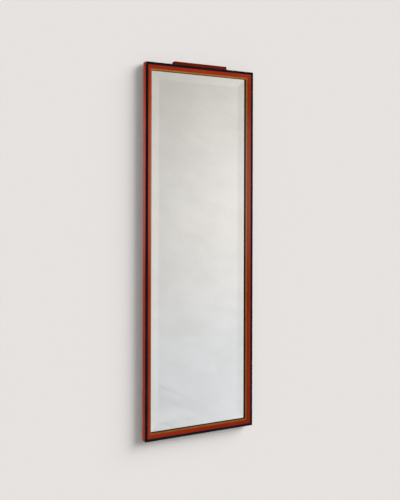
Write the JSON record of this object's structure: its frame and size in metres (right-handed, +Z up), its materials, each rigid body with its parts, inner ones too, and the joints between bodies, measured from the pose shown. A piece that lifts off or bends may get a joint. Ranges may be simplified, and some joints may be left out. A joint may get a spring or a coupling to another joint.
{
  "type": "wall mirror",
  "caption": "Tall narrow wall mirror: bevelled plate in a mitred red wood frame with black edge strips, gilt slip, low crest rail and a swinging hanger ring.",
  "frame": {"origin": "on the wall plane at mid-width, behind the middle of the hanger's barrel, 9 mm below the frame's top edge", "axes": "+X to the right along the wall as the mirror is looked at, +Y into the wall, +Z up"},
  "size_m": [0.395, 0.0279, 1.2106],
  "materials": {
    "red_wood": "stained red and polished, satin",
    "black_wood": "ebonised, polished",
    "gilt": "gilded with dull bronze gold",
    "mirror": "silvered back, bevelled and polished",
    "card": "grey pulp card",
    "plywood": "bare plywood, aged",
    "plain_wood": "bare softwood and beech",
    "steel": "cut from sheet, dulled",
    "brass": "stamped and bent, tarnished",
    "felt": "pressed wool felt"
  },
  "bodies": {
    "frame": {"left_stile": "red_wood", "right_stile": "red_wood", "top_rail": "red_wood", "bottom_rail": "red_wood", "crest_rail": "red_wood", "left_edge_strip": "black_wood", "right_edge_strip": "black_wood", "top_edge_strip": "black_wood", "bottom_edge_strip": "black_wood", "left_gilt_slip": "gilt", "right_gilt_slip": "gilt", "top_gilt_slip": "gilt", "bottom_gilt_slip": "gilt", "mirror_glass": "mirror", "backing_card": "card", "backboard": "plywood", "mitre_splines": "plain_wood", "crest_dowels": "plain_wood", "glass_packers": "plain_wood", "backboard_sprigs": "steel", "hanger_plate": "brass", "hanger_screws": "brass", "left_wall_pad": "felt", "right_wall_pad": "felt"},
    "ring": {"hanger_ring": "brass"}
  },
  "joints": [
    {"name": "ring_swing", "type": "hinge", "parent": "frame", "child": "ring", "pos_m": [0, -0.00272, 0], "axis": [1, 0, 0], "range_deg": [0, 175]}
  ]
}
